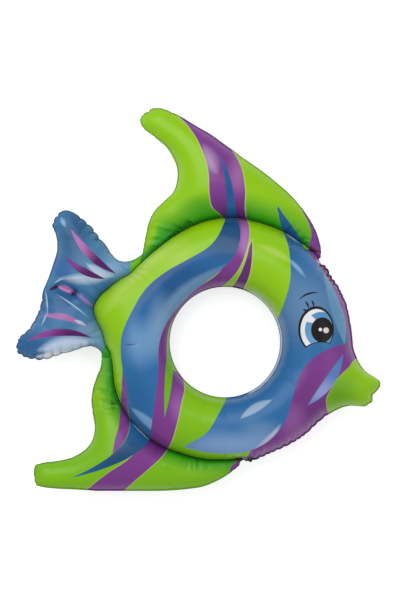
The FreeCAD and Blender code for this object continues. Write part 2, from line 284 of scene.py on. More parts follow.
def as_piece(name, mesh):
    """A smooth piece from a finished mesh."""
    for face in mesh.faces:
        face.smooth = True
    piece = bpy.data.objects.new(name, bpy.data.meshes.new(name))
    mesh.to_mesh(piece.data)
    mesh.free()
    bpy.context.scene.collection.objects.link(piece)
    return piece


def chamber(name, front, back, weld_gap, inner_gap, seat=None):
    """Closed air chamber from its two sheets, which share their outline, open under a valve's pad.

    Each point keeps its distance to the nearest outer weld and to the ring's outline. The second is
    negative on the ring's side, so that the print can tell the ring from the fins."""
    clearance, nearby, same_spot = 0.0013, 0.010, 1e-5
    stations, rows = front.shape[:2]
    opened = np.zeros((stations, rows), bool)
    if seat:
        opened = (seat.reach(back) < STEM_RADIUS + clearance) & (np.abs(seat.rise(back)) < nearby)
    mesh = bmesh.new()
    to_weld = mesh.verts.layers.float.new("weld_gap")
    to_inner = mesh.verts.layers.float.new("inner_gap")
    for sheet in (front, back):
        made = bmesh.ops.create_grid(mesh, x_segments=stations - 1, y_segments=rows - 1, size=0.5)["verts"]
        under_stem = []
        for point in made:
            i = round((point.co.x + 0.5) * (stations - 1))
            j = round((point.co.y + 0.5) * (rows - 1))
            point.co = sheet[i, j]
            point[to_weld] = weld_gap[i, j]
            point[to_inner] = inner_gap[i, j]
            if sheet is back and opened[i, j]:
                under_stem.append(point)
        if sheet is back:
            bmesh.ops.reverse_faces(mesh, faces=list({face for point in made for face in point.link_faces}))
            bmesh.ops.delete(mesh, geom=under_stem, context="VERTS")
    bmesh.ops.remove_doubles(mesh, verts=mesh.verts, dist=same_spot)
    bmesh.ops.dissolve_degenerate(mesh, edges=mesh.edges, dist=same_spot / 10)
    bmesh.ops.recalc_face_normals(mesh, faces=mesh.faces)
    return as_piece(name, mesh)


STEM_RADIUS = 0.0049                # outside of a valve's stem
STEM_LENGTH = 0.0150                # stem inside the film
PAD_RADIUS = 0.0130                 # round pad that holds a stem in the film


class Seat:
    """Where a valve stands on the back sheet: the middle of its foot and its own directions."""

    def __init__(self, valve):
        joints = {joint["name"]: joint for joint in frame["joints"]}
        hinge = joints[valve + "_flap_swing"]
        self.out = np.array(joints[valve + "_stem_pull"]["axis"])
        self.side = np.array(hinge["axis"])
        self.ahead = np.cross(self.side, self.out)
        self.foot = np.array(hinge["pos_m"]) + STEM_RADIUS * self.ahead + STEM_LENGTH * self.out

    def at(self, ahead, side, out):
        """A point in metres from the foot, along the valve's own directions."""
        return self.foot + ahead * self.ahead + side * self.side + out * self.out

    def rise(self, points):
        """How far points stand above the foot."""
        return (points - self.foot) @ self.out

    def reach(self, points):
        """How far points are from the valve's axis."""
        return np.linalg.norm(np.cross(points - self.foot, self.out), axis=-1)

    def level(self, sheet):
        """The sheet drawn level under the pad, which is stiffer than the film."""
        drawn, eased, nearby, play = 0.010, 0.009, 0.012, 0.0001
        share = np.clip((PAD_RADIUS + drawn - self.reach(sheet)) / eased, 0, 1)
        share = share ** 2 * (3 - 2 * share) * (np.abs(self.rise(sheet)) < nearby)
        return sheet - ((self.rise(sheet) + play) * share)[..., None] * self.out


ring_seat = Seat("ring")
fin_seat = Seat("fin")

angles = np.linspace(0, 360, 801)
outer = ring_weld(angles)
outer[-1] = outer[0]
inner = around(angles, hole_radius)
towards_head = np.cos(np.radians(angles + 22))
# 1 where the ring's outer weld is the float's own edge, 0 where a fin is joined to it
free_edge = np.interp(angles, (38, 42, 278, 282), (1, 0, 0, 1))
hole_weld = 0.0028 + 0.0022 * towards_head
outer_weld = 0.0010 + 0.0022 * free_edge
plan, gap, far_gap, welded = lay(inner, outer, hole_weld, outer_weld, rows=46)
rise = puff(plan, welded, closed=True)
fullest = level(rise.max(axis=1), 6, closed=True)
# the tube is fullest at the forehead and slimmest at its sides
off = np.radians(angles - 30)
fullness = (114.5 + 8 * np.cos(off) + 6 * np.cos(2 * off)) / 128.5
crest = ring_crest * fullness - FILM
lift = crest[:, None] * rise / fullest[:, None] + FILM
lift[:, [0, -1]] = 0
points = np.dstack([plan, lift])

edge_folds = folds_off(outer, angles, 1, (
    (9, 20, 0.0130, 0.0014, 0.012, 0), (20, 30, 0.0110, 0.0024, 0.013, 0),
    (30, 39.4, 0.0125, 0.0036, 0.016, 0), (280, 290, 0.0135, 0.0036, 0.015, 0),
    (290, 325, 0.0130, 0.0024, 0.013, 0), (335, 347, 0.0110, 0.0010, 0.016, 0)), seed=3)
weld_folds = folds_off(outer, angles, 1, (
    (43, 60, 0.0120, 0.0022, 0.034, 0), (60, 76, 0.0220, 0.0010, 0.030, 0),
    (136, 152, 0.0110, 0.0020, 0.040, 20), (196, 216, 0.0160, 0.0012, 0.030, 0),
    (262, 281, 0.0130, 0.0020, 0.030, -10)), seed=12)
hole_folds = folds_off(inner, angles, -1, (
    (0, 360, 0.0260, 0.0010, 0.044, 0), (300, 380, 0.0200, 0.0010, 0.040, 0)), seed=5)
points = fold_in(points, weld_folds + hole_folds + creases(((-194, -3), (-160, -3), 1.6)), edge_folds)
points[:, 1:-1, 2] = np.maximum(points[:, 1:-1, 2], FILM)
points[-1] = points[0]
back = ring_seat.level(points * (1, 1, -1))
# a weld that a fin shares doesn't look fused, and beside a free edge there is no fin near
unfused, no_fin = 0.003, 0.1
to_weld = np.minimum(gap, far_gap + unfused * (1 - free_edge[:, None]))
to_fins = -(far_gap + 0.001 + no_fin * free_edge[:, None])
ring = chamber("ring_and_head", points, back, to_weld, to_fins, ring_seat)
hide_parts("ring_front", "ring_back")
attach(ring, "float")


# ------------------------------------------------------------------ the dorsal, anal and tail fins
# Three smaller chambers of the same two sheets. Each starts at the arc where it is welded to the
# ring and ends in the float's free outline, and is fullest half way between. A rib here is a line
# straight across the chamber: its foot on the ring's weld or the trailing edge, and its far end.

# on the ring's weld: (direction of the foot in degrees, far end in millimetres)
dorsal_root = ((41.4, (180, 159)), (44, (181, 171)), (49, (178, 186)), (56, (171, 208)), (65, (158, 232)),
               (75, (141, 256)), (86, (119, 280)), (98, (96, 300)), (112, (75, 317)), (126, (57, 330)),
               (139, (44, 339)))
# past it: (foot, far end) in millimetres
dorsal_free = (((-155, 166), (40, 342)), ((-149, 198), (36, 344)), ((-142, 226), (32, 347)),
               ((-131, 247), (28, 350)), ((-113, 265), (23, 354)), ((-97, 281), (17, 359)),
               ((-90, 300), (8, 365)), ((-89, 324), (-6, 375)), ((-97, 346), (-26, 389.5)),
               ((-111, 367), (-52, 404.5)), ((-136, 387), (-86, 425)), ((-151, 398), (-111, 436.5)),
               ((-159, 410), (-125, 440)))
anal_root = ((279, (31, -223)), (276, (24, -235)), (269, (-5, -255)), (260, (-38, -270)), (250, (-66, -275)),
             (239, (-98, -278)), (228, (-130, -279)), (217, (-158, -279)), (206, (-182, -279)),
             (196, (-200, -279)), (187.5, (-214, -279)))
anal_free = (((-222, -29), (-215, -279)), ((-231, -30), (-216, -279)), ((-233, -47), (-217, -279)),
             ((-241, -67), (-219, -279)), ((-248, -90), (-222, -279)), ((-250, -115), (-224, -279)),
             ((-245, -142), (-230, -279)), ((-244, -164), (-241, -279)), ((-250, -187), (-254, -278)),
             ((-264, -203), (-270, -277)), ((-284, -215), (-289, -276)), ((-309, -222), (-312, -275)),
             ((-335, -225), (-335, -273)), ((-355, -230), (-353, -269)))
tail_root = ((137.5, (-153, 166)), (140.5, (-168, 156)), (143.5, (-185, 151)), (146, (-201, 154)),
             (148.5, (-212, 165)), (150.5, (-222, 181)), (152, (-235, 197)), (153.5, (-250, 217)),
             (155, (-271, 235)), (156.5, (-288, 245)), (157.8, (-301, 247)), (159, (-313, 241)),
             (160, (-320, 231)), (161.2, (-324, 216)), (162.5, (-316, 197)), (164, (-315, 171)),
             (165.5, (-322, 146)), (167, (-331, 120)), (168.6, (-341, 95)), (170.1, (-346, 69)),
             (171.5, (-356, 44)), (172.8, (-368, 25)), (174, (-386, 9)), (175.1, (-391, -5)),
             (176, (-391, -17)), (176.6, (-381, -27)), (177.1, (-359, -33)), (177.6, (-342, -34)),
             (178, (-325, -30)), (178.4, (-306, -23)), (178.8, (-284, -17)), (180, (-260, -9)),
             (183.6, (-243, -10)), (186.4, (-232, -19)), (187.5, (-231, -30)))


def ribs_of(root, free, spacing):
    """Feet and far ends of a fin's ribs, evenly spaced, and each one's number in the table."""
    fineness = 60                   # steps from one rib of the table to the next, before they are evened
    count = len(root) + len(free)
    fine = np.linspace(0, count - 1, fineness * count)
    far = flow(range(count), [end for _, end in root] + [end for _, end in free], fine) / 1000
    last = len(root) - 1
    near = ring_weld(flow(range(len(root)), [angle for angle, _ in root], np.minimum(fine, last)) % 360)
    if free:
        trail = [near[-1] * 1000] + [foot for foot, _ in free]
        trail = flow(range(len(trail)), trail, np.maximum(fine - last, 0)) / 1000
        near = np.where((fine > last)[:, None], trail, near)
    steps = np.maximum(np.linalg.norm(np.diff(near, axis=0), axis=1),
                       np.linalg.norm(np.diff(far, axis=0), axis=1))
    run = np.concatenate([[0], np.cumsum(steps)])
    at = np.linspace(0, run[-1], int(run[-1] / spacing))
    near, far = (np.stack([np.interp(at, run, ends[:, k]) for k in (0, 1)], axis=1) for ends in (near, far))
    return near, far, np.interp(at, run, fine)


class Fin:
    """Air chamber of a fin, from its ribs to its sheets."""

    def __init__(self, root, free, crest, bow=0.0, slot=None, joined=0.0):
        rib_spacing, outer_weld, root_weld, trail_weld = 0.0022, 0.0030, 0.0010, 0.0028
        near, far, self.rib = ribs_of(root, free, rib_spacing)
        # past the root and what is joined there, the weld widens to the trailing edge's
        trail = np.clip((self.rib - (len(root) - 1) - joined) / 0.6, 0, 1)
        near_weld = root_weld + (trail_weld - root_weld) * trail
        plan, _, _, welded = lay(near, far, near_weld, np.full(len(near), outer_weld), rows=80)
        if free:
            # the last ribs bow out to a rounded tip with a small notch in it
            late = np.clip(1 - (self.rib[-1] - self.rib) / 1.6, 0, 1) ** 2
            across = np.linspace(0, 1, plan.shape[1])
            earlier = -14           # rib from which the last one shows where the tip points
            tip = (near[-1] + far[-1] - near[earlier] - far[earlier]) / 2
            tip = tip / np.linalg.norm(tip)
            notch = 0.35 * np.exp(-((across - 0.6) / 0.05) ** 2)
            swell = bow * (4 * across * (1 - across) - notch)
            plan = plan + (late[:, None] * swell[None, :])[:, :, None] * tip
            welded[-3:] = True
        welded[0] = welded[-1] = True
        if slot:
            # a short weld inside the chamber pins both sheets together
            half_weld = 0.0022
            start, end = np.array(slot)
            along = np.clip(((plan - start) @ (end - start)) / ((end - start) ** 2).sum(), 0, 1)
            welded |= np.linalg.norm(plan - start - along[..., None] * (end - start), axis=2) < half_weld
        rise = puff(plan, welded)
        full = level(rise.max(axis=1), 8)
        # a chamber's middle stands a little prouder than the membrane, and its edges lie flatter
        proud = (rise / np.maximum(full[:, None], 0.002)) ** 0.25
        lift = crest * (rise / full.max()) * proud + FILM
        lift[:, [0, -1]] = 0
        lift[[0, -1]] = 0
        self.points = np.dstack([plan, lift])
        self.near, self.far, self.plan = near, far, plan

    def fold(self, side, near_groups, far_groups, near_edge_groups, far_edge_groups, seed, single):
        """Folds that run off the root, the trailing edge and the outline, and tucks in the free edges."""
        self.points = fold_in(
            self.points,
            folds_off(self.near, self.rib, side, near_groups, seed)
            + folds_off(self.far, self.rib, -side, far_groups, seed + 1) + single,
            folds_off(self.near, self.rib, side, near_edge_groups, seed + 2)
            + folds_off(self.far, self.rib, -side, far_edge_groups, seed + 3))
        self.points[1:-1, 1:-1, 2] = np.maximum(self.points[1:-1, 1:-1, 2], FILM)

    def close(self, name, slot, seat=None):
        """The chamber as a piece of the float."""
        back = self.points * (1, 1, -1)
        outline = np.concatenate([self.near, self.plan[-1], self.far[::-1]])
        piece = chamber(name, self.points, back if seat is None else seat.level(back),
                        gap_to(outline, self.plan), gap_to(outer, self.plan), seat)
        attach(piece, "float")
        return piece


dorsal_fin = Fin(dorsal_root, dorsal_free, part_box("dorsal_fin_front")[1].z, bow=0.009)
dorsal_fin.fold(
    -1,
    near_groups=((0, 1.6, 0.0065, 0.0044, 0.034, -20), (1.6, 4, 0.0140, 0.0020, 0.034, -20),
                 (4, 7, 0.0220, 0.0012, 0.030, 0), (7.4, 9.5, 0.0062, 0.0034, 0.040, 48),
                 (9.3, 10, 0.0055, 0.0040, 0.032, 25)),
    far_groups=((3, 9, 0.0400, 0.0008, 0.030, 0), (9, 20, 0.0360, 0.0006, 0.030, 0)),
    near_edge_groups=((10.2, 12.4, 0.0085, 0.0010, 0.030, 20), (20.8, 23, 0.0100, 0.0016, 0.020, 0)),
    far_edge_groups=((0.2, 1.4, 0.0100, 0.0016, 0.018, 0), (21.4, 23, 0.0100, 0.0016, 0.020, 0)),
    seed=21,
    single=creases(((182, 169), (146, 173), 5), ((160, 193), (138, 189), 3), ((156, 185), (136, 181), 2.5),
                   ((174, 160), (160, 165), 2), ((-84, 212), (-116, 229), 4),
                   ((-94, 204), (-130, 213), 4.5), ((-104, 198), (-142, 206), 4.5),
                   ((-114, 190), (-148, 196), 4), ((-140, 222), (-98, 256), -2.5)))
dorsal = dorsal_fin.close("dorsal_fin", "body_film", fin_seat)
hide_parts("dorsal_fin_front", "dorsal_fin_back")

anal_fin = Fin(anal_root, anal_free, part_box("anal_fin_front")[1].z, bow=0.004, joined=2.0)
anal_fin.fold(
    1,
    near_groups=((0, 1.6, 0.0080, 0.0040, 0.034, 10), (1.6, 3.6, 0.0180, 0.0010, 0.040, 10),
                 (3.75, 4.1, 0.0110, 0.0020, 0.050, 14), (4.6, 7, 0.0200, 0.0016, 0.036, 0),
                 (7.6, 8.2, 0.0090, 0.0034, 0.060, -28), (8.4, 9.3, 0.0110, 0.0026, 0.048, -22),
                 (9.3, 10, 0.0070, 0.0040, 0.026, 30)),
    far_groups=((1, 5, 0.0240, 0.0010, 0.026, 0), (5, 23, 0.0340, 0.0007, 0.024, 0)),
    near_edge_groups=((12, 13.4, 0.0100, 0.0014, 0.024, 0), (14, 23, 0.0300, 0.0007, 0.024, 0)),
    far_edge_groups=((0.2, 1.6, 0.0100, 0.0016, 0.018, 0),),
    seed=33,
    single=creases(((-213, -48), (-228, -36), 3), ((-212, -58), (-222, -44), 2),
                   ((-52, -216), (-47, -262), 4), ((-60, -218), (-57, -258), 3),
                   ((-118, -230), (-74, -242), -1.5), ((-196, -113), (-246, -111), 5),
                   ((-200, -121), (-250, -121), 5), ((-206, -129), (-246, -132), -3),
                   ((-208, -82), (-236, -79), 2.5)))
anal = anal_fin.close("anal_fin", "body_film")
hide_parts("anal_fin_front", "anal_fin_back")

tail_fin = Fin(tail_root, (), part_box("tail_front")[1].z, slot=((-0.314, 0.1045), (-0.283, 0.0925)))
tail_fin.fold(
    -1,
    near_groups=((2, 10, 0.0220, 0.0024, 0.050, 0), (10, 22, 0.0200, 0.0030, 0.060, 0),
                 (22, 34, 0.0150, 0.0026, 0.040, 0)),
    far_groups=((14, 22, 0.0260, 0.0014, 0.040, 0),),
    near_edge_groups=(),
    far_edge_groups=((4.2, 5.7, 0.0110, 0.0010, 0.014, 0), (5.8, 8.3, 0.0150, 0.0036, 0.017, 0),
                     (11, 13.3, 0.0130, 0.0036, 0.016, 0), (13.4, 15, 0.0140, 0.0014, 0.016, 0),
                     (18.6, 23.4, 0.0130, 0.0030, 0.020, 0), (23.6, 29.6, 0.0165, 0.0046, 0.020, 0),
                     (30, 32, 0.0130, 0.0024, 0.018, 0)),
    seed=47,
    single=creases(((-330, 98), (-308, 108), 4), ((-278, 96), (-290, 84), 4), ((-284, 90), (-240, 58), 3),
                   ((-322, 108), (-296, 120), -2), ((-337, 104), (-331, 50), -2),
                   ((-331, 60), (-344, 26), -1.5), ((-318, 93), (-248, 40), -2.5),
                   ((-316, 117), (-215, 122), -2)))
tail = tail_fin.close("tail_fin", "tail_film")
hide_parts("tail_front", "tail_back")


# ------------------------------------------------------------------ the print on the film
# Each sheet is printed flat before it is welded, in glossy inks on a lime ground, so the stripes
# run across the welds unbroken. A stripe's edge is a curve over the height of the sheet, in
# millimetres from the middle of the hole, and the small marks are slim leaves and rounds.
# Some pale marks are painted highlights and glints, and some dark ones painted shade in creases.

class Ink:
    """A value or a colour on its way through a material."""

    def __init__(self, tree, socket=None):
        self.tree = tree
        self.socket = socket

    def node(self, kind, values, output=0, knots=(), **settings):
        """One output of a new node, from its settings and the values or links of its sockets."""
        made = self.tree.nodes.new(kind)
        for name, value in settings.items():
            setattr(made, name, value)
        if knots:
            curve = made.mapping.curves[0]
            while len(curve.points) < len(knots):
                curve.points.new(0.5, 0.5)
            for point, knot in zip(curve.points, knots):
                point.location = knot
            made.mapping.update()
        for name, value in values.items():
            if isinstance(value, Ink):
                self.tree.links.new(value.socket, made.inputs[name])
            else:
                made.inputs[name].default_value = value
        return Ink(self.tree, made.outputs[output])

    def beside(self, output):
        """Another output of the same node."""
        return Ink(self.tree, self.socket.node.outputs[output])

    def math(self, operation, *values, clamp=False):
        return self.node("ShaderNodeMath", dict(enumerate(values)), operation=operation, use_clamp=clamp)

    def __add__(self, other):
        return self.math("ADD", self, other)

    def __sub__(self, other):
        return self.math("SUBTRACT", self, other)

    def __rsub__(self, other):
        return self.math("SUBTRACT", other, self)

    def __mul__(self, other):
        return self.math("MULTIPLY", self, other)

    def __truediv__(self, other):
        return self.math("DIVIDE", self, other)

    __radd__ = __add__
    __rmul__ = __mul__

    def past(self, edge, soft=0.9):
        """1 where this value is past the edge and 0 short of it."""
        return self.math("ADD", (self - edge) / soft, 0.5, clamp=True)

    def over(self, below, above, blend="MIX"):
        """The colour above where this mask is 1, over the colour below."""
        return self.node("ShaderNodeMix", {0: self, 6: below, 7: above}, 2, data_type="RGBA",
                         blend_type=blend)


def ink(red, green, blue):
    """Colour from its printed value of 0 to 255 in each channel."""
    return tuple((c / 255 / 12.92 if c <= 10 else ((c / 255 + 0.055) / 1.055) ** 2.4)
                 for c in (red, green, blue)) + (1,)


def layered(colour, *layers):
    """A colour with each (mask, ink) laid over it in turn."""
    for mask, above in layers:
        colour = mask.over(colour, above)
    return colour


class Finish:
    """A piece's material, on the piece's own coordinates."""

    def __init__(self, name):
        self.material = bpy.data.materials.new(name)
        self.material.use_nodes = True
        self.shader = self.material.node_tree.nodes["Principled BSDF"]
        self.place = Ink(self.material.node_tree).node("ShaderNodeTexCoord", {}, "Object")

    def noise(self, scale, detail):
        return self.place.node("ShaderNodeTexNoise", {"Vector": self.place, "Scale": scale, "Detail": detail})

    def feed(self, socket, value):
        """Let a value drive one of the shader's sockets."""
        self.material.node_tree.links.new(value.socket, self.shader.inputs[socket])


class Press(Finish):
    """Printed film, and the shapes that can be printed on it, in millimetres."""

    sheet = 800                     # side of the square that stripes' edges are drawn on
    bottom, left = 0.4, 0.5         # of that square, from the middle of the hole, as shares of its side

    def __init__(self, name):
        super().__init__(name)
        across = self.place.node("ShaderNodeSeparateXYZ", {0: self.place}, "X")
        self.x = across * 1000
        self.y = across.beside("Y") * 1000
        self.height = self.y.math("ADD", self.y / self.sheet, self.bottom, clamp=True)
        self.weld_gap, self.inner_gap = (
            self.place.node("ShaderNodeAttribute", {}, "Fac", attribute_name=gap) * 1000
            for gap in ("weld_gap", "inner_gap"))

    def edge(self, *knots):
        """How far along x a stripe's edge is, through (y, x) knots."""
        drawn = [(y / self.sheet + self.bottom, x / self.sheet + self.left) for y, x in knots]
        curve = self.x.node("ShaderNodeFloatCurve", {"Factor": 1.0, "Value": self.height}, knots=drawn)
        return (curve - self.left) * self.sheet

    def reach(self, x, y, flat=1.0):
        """Distance from a point, with heights counted flat times."""
        off_x, off_y = self.x - x, (self.y - y) * flat
        return self.x.math("SQRT", off_x * off_x + off_y * off_y)

    def round(self, x, y, radius, flat=1.0):
        """Round shape, taller than wide where flat is under 1."""
        return (radius - self.reach(x, y, flat)).past(0)

    def leaf(self, start, end, width, bend, soft=0.9):
        """Slim pointed shape from start to end, bowed to its left by bend."""
        length = math.dist(start, end)
        u_x, u_y = (end[0] - start[0]) / length, (end[1] - start[1]) / length
        off_x, off_y = self.x - start[0], self.y - start[1]
        along = (off_x * u_x + off_y * u_y) / length
        across = off_y * u_x - off_x * u_y
        inside = self.x.math("MAXIMUM", along * (1 - along) * 4, 0)
        middle = self.x.math("ABSOLUTE", across - inside * bend)
        return (inside * (width / 2 + soft / 2) - middle).past(soft / 2, soft)

    def glow(self, x, y, wide, tall, strength=1.0):
        """Soft round patch, strongest in the middle and gone a quarter past its half sizes."""
        off_x, off_y = (self.x - x) / (1.25 * wide), (self.y - y) / (1.25 * tall)
        inside = self.x.math("MAXIMUM", 1 - (off_x * off_x + off_y * off_y), 0)
        return inside * inside * strength

    def finish(self, colour):
        """Glossy film: the print darker at the welds, for the double film and for painted crease shade,
        puckered beside them.
        """
        # painted shade: the ink darkens along the welds, partly for the double film and partly for the
        # crease's shade
        fused_and_shaded = self.x.math("MULTIPLY_ADD", self.weld_gap, -0.55, 1.5, clamp=True)
        fused_and_shaded = fused_and_shaded * (1 - self.glow(-224, -29, 26, 9))       # the tail runs on into the anal fin
        colour = (fused_and_shaded * 0.75).over(colour, (0.22, 0.20, 0.24, 1), "MULTIPLY")
        cloud = self.noise(14.0, 2.0)
        dulled = self.x.math("MULTIPLY_ADD", cloud, 0.5, -0.1, clamp=True)
        self.feed("Base Color", dulled.over(colour, (0.84, 0.86, 0.84, 1), "MULTIPLY"))
        near_weld = self.x.math("POWER", math.e, self.weld_gap / -12)
        self.feed("Roughness", cloud * 0.12 + near_weld * 0.3 + 0.22)
        puckers = self.noise(75.0, 3.0) * near_weld + self.noise(900.0, 1.0) * 0.010
        self.feed("Normal", self.x.node("ShaderNodeBump", {"Height": puckers, "Strength": 0.55,
                                                           "Distance": 0.0018}))
        self.shader.inputs["IOR"].default_value = 1.36
        self.shader.inputs["Coat Weight"].default_value = 0.10
        self.shader.inputs["Coat Roughness"].default_value = 0.15


lime, grass, deep_green = ink(150, 208, 4), ink(112, 186, 8), ink(34, 156, 20)
blue, deep_blue, pale_blue = ink(42, 112, 172), ink(16, 84, 142), ink(134, 180, 222)
purple, deep_purple, pale_purple = ink(130, 60, 146), ink(84, 16, 98), ink(190, 132, 204)
dark, white = ink(14, 0, 2), ink(246, 246, 250)
straw, painted_highlight_blue = ink(214, 200, 150), ink(124, 162, 202)
glint, foam = ink(176, 204, 226), ink(206, 220, 238)

body = Press("printed_film")
x, y = body.x, body.y

# lime ground, duller lower down and deep green beside the inner welds, with painted highlights
on_fin = body.inner_gap.past(-0.5, 0.5)
by_weld = x.math("MAXIMUM", 1 - body.inner_gap / (40 + y * 0.045), 0) * on_fin
# the fins' side of the inner welds, where shade is painted
painted_shade_at_weld = x.math("MULTIPLY_ADD", body.inner_gap, -1 / 4, 2.0, clamp=True) * on_fin
colour = layered(
    lime,
    (x.math("MULTIPLY_ADD", y, -0.0026, 0.10, clamp=True), grass),
    # painted light: the anal fin's lower edge, which turns from the light, lighter
    (body.glow(-330, -262, 420, 30, 0.8), ink(136, 204, 4)),
    # painted highlights on the ring's top, on either side
    (body.leaf((52, 184), (132, 144), 12, 4, 8) * 0.55, ink(196, 228, 110)),
    (body.glow(-100, 168, 56, 34, 0.5), ink(192, 222, 96)),
    (body.glow(-40, 254, 50, 26, 0.6), ink(70, 164, 10)),
    # painted highlight along the ring's upper left
    (body.leaf((-232, 44), (-84, 178), 30, 14, 22) * 0.4, ink(210, 230, 120)),
    (x.math("MULTIPLY", by_weld, 1.15, clamp=True), deep_green),
    (body.glow(-114, 200, 28, 34, 0.6) * on_fin, ink(60, 186, 50)),
    (body.leaf((-160, 158), (-124, 240), 22, 1, 10) * on_fin * 0.9, lime))

# the long purple stripe, with a thin straw line on either side and painted highlights
purple_left = body.edge((-284, -266), (-247, -222), (-218, -180), (-180, -146), (-100, -133), (0, -125),
                        (80, -76), (150, 2), (226, 2), (240, -10), (252, -23), (272, -28), (320, -31),
                        (353, -40), (390, -58), (430, -92))
purple_right = body.edge((-284, -194), (-262, -172), (-235, -141), (-208, -113), (-190, -102), (-160, -92),
                         (-120, -83), (-75, -77), (-58, -86), (-48, -100), (0, -108), (40, -98), (70, -70),
                         (104, -6), (130, 21), (150, 32), (170, 39), (190, 44), (215, 45), (240, 38),
                         (290, 37), (330, 29), (360, 13), (400, -20), (430, -60))
stripe = layered(
    purple,
    # painted highlight on the stripe in the dorsal fin
    (body.leaf((-42, 374), (-12, 310), 22, -2, 18) * 0.6, ink(206, 178, 212)),
    (body.glow(24, 312, 20, 40, 0.6), ink(180, 126, 182)),
    # painted highlight on the stripe at the ring's top
    (body.glow(38, 195, 16, 40, 0.7), pale_purple),
    (body.glow(-85, -120, 20, 40, 0.35), pale_purple),
    (by_weld * 0.75, deep_purple))
in_purple = x.past(purple_left) * purple_right.past(x)
colour = layered(
    colour,
    (x.past(purple_left - 2.0) * (purple_right + 2.0).past(x) * 0.6, straw),
    (in_purple, stripe))

# the purple leaf that stands on the opening's edge, and the slim ones beside the stripe
mark_left = body.edge((90, 6), (103, 14), (120, 25), (150, 38), (187, 49.5), (200, 60))
mark_right = body.edge((90, 30), (103, 36), (120, 43.5), (150, 49.5), (187, 50.5), (200, 50))
colour = layered(
    colour,
    (x.past(mark_left - 2) * (mark_right + 2).past(x) * y.past(60) * 0.6, straw),
    (x.past(mark_left) * mark_right.past(x) * y.past(60), ink(104, 44, 116)),
    (body.leaf((-101, 34), (-113, -142), 14, 3), grass),
    (body.leaf((-191, -46), (-203, -208), 14, 8), purple),
    (body.leaf((-182, -126), (-210, -209), 20, 5), purple))

# the long blue stripe over them, with painted highlights, a painted glint and a painted shade line
blue_left = body.edge((-252, -284), (-232, -244), (-208, -209), (-180, -184), (-150, -177), (-130, -180),
                      (-100, -183), (-75, -186), (-50, -191), (0, -194), (20, -190), (60, -172),
                      (100, -147), (130, -112), (155, -68), (180, -28), (200, -12), (215, -5), (240, 3),
                      (290, 1), (320, -3), (346, -9))
blue_right = body.edge((-252, -280), (-232, -216), (-208, -168), (-184, -142), (-155, -137), (-100, -129),
                       (-50, -124), (0, -122), (40, -106), (80, -74), (110, -40), (140, -2), (170, 21),
                       (205, 29), (240, 21), (290, 14), (320, 5), (346, -8))
by_hole = x.math("MULTIPLY_ADD", body.reach(0, 0), -1 / 16, 8.6, clamp=True)
stripe = layered(
    blue,
    (body.glow(4, 200, 80, 54, 1.2), ink(20, 80, 128)),
    (body.glow(-100, 118, 90, 90, 0.9), deep_blue),
    # painted highlights on the ring's left and upper inner side, by the opening
    (body.glow(-154, 0, 44, 48, 0.6), pale_blue),
    (by_hole * body.glow(-96, 84, 110, 130, 1.0), painted_highlight_blue),
    (body.leaf((-112, 66), (8, 148), 18, 3, 7) * 0.6, painted_highlight_blue),
    (body.glow(-160, -100, 40, 60, 0.4), deep_blue),
    (body.glow(-200, -215, 110, 60, 0.9), ink(10, 68, 112)),
    (body.glow(5, 290, 40, 60, 0.9), deep_blue),
    # painted highlights beside the anal fin's weld and on the ring's left, and a painted glint along the weld
    (body.leaf((-180, -119), (-106, -184), 16, 2, 5) * 0.75, pale_blue),
    (body.glow(-122, 32, 26, 64, 0.5), ink(150, 188, 222)),
    (body.leaf((-176, -150), (-141, -184), 2.6, 0, 1.2), ink(214, 232, 248)),
    # painted shade in the crease across the stripe
    (body.leaf((-192, -5), (-163, -4), 2.2, 0, 1.5), ink(24, 72, 130)))
in_blue = x.past(blue_left) * blue_right.past(x) * y.past(-253, 4)
colour = in_blue.over(colour, stripe)

# blue head with pale marks, of which the leaves and the glows along its lower edge are painted highlights
head_left = body.edge((-216, -110), (-206, -96), (-196, -78), (-184, -58), (-170, -36), (-130, -10),
                      (-100, 6), (-50, 30), (10, 70), (45, 98), (80, 112), (115, 121), (157, 121),
                      (180, 118), (200, 112), (222, 104), (240, 100.5), (254, 99), (259, 300))
head_right = body.edge((150, 340), (168, 176), (176, 150), (190, 143), (205, 134), (222, 122),
                       (240, 108.5), (254, 99.5))
skin = layered(
    blue,
    (body.glow(150, 64, 80, 84, 0.8), ink(108, 146, 186)),
    (body.glow(170, -20, 70, 50, 0.6), blue),
    # painted highlights along the head's lower edge
    (body.glow(66, -170, 50, 30, 0.6), ink(128, 166, 208)),
    (body.glow(-16, -172, 60, 20, 0.6), ink(96, 146, 196)),
    (body.glow(20, -194, 140, 26, 0.9), ink(140, 176, 226)),
    (body.glow(126, 225, 40, 70, 0.95), deep_blue),
    # painted highlights: the pale leaves
    (body.leaf((112, 160), (152, 118), 7, 2, 4), pale_blue),
    (body.leaf((183, 134), (224, -8), 25, 6, 2.5), ink(104, 154, 194)),
    (body.leaf((52, -199), (106, -148), 9, -6, 5), ink(186, 200, 226)),
    (body.leaf((26, -144), (90, -106), 15, 3, 3), ink(150, 178, 210)))
colour = (x.past(head_left) * head_right.past(x) * y.past(x * x * 0.0022 - 208)).over(colour, skin)

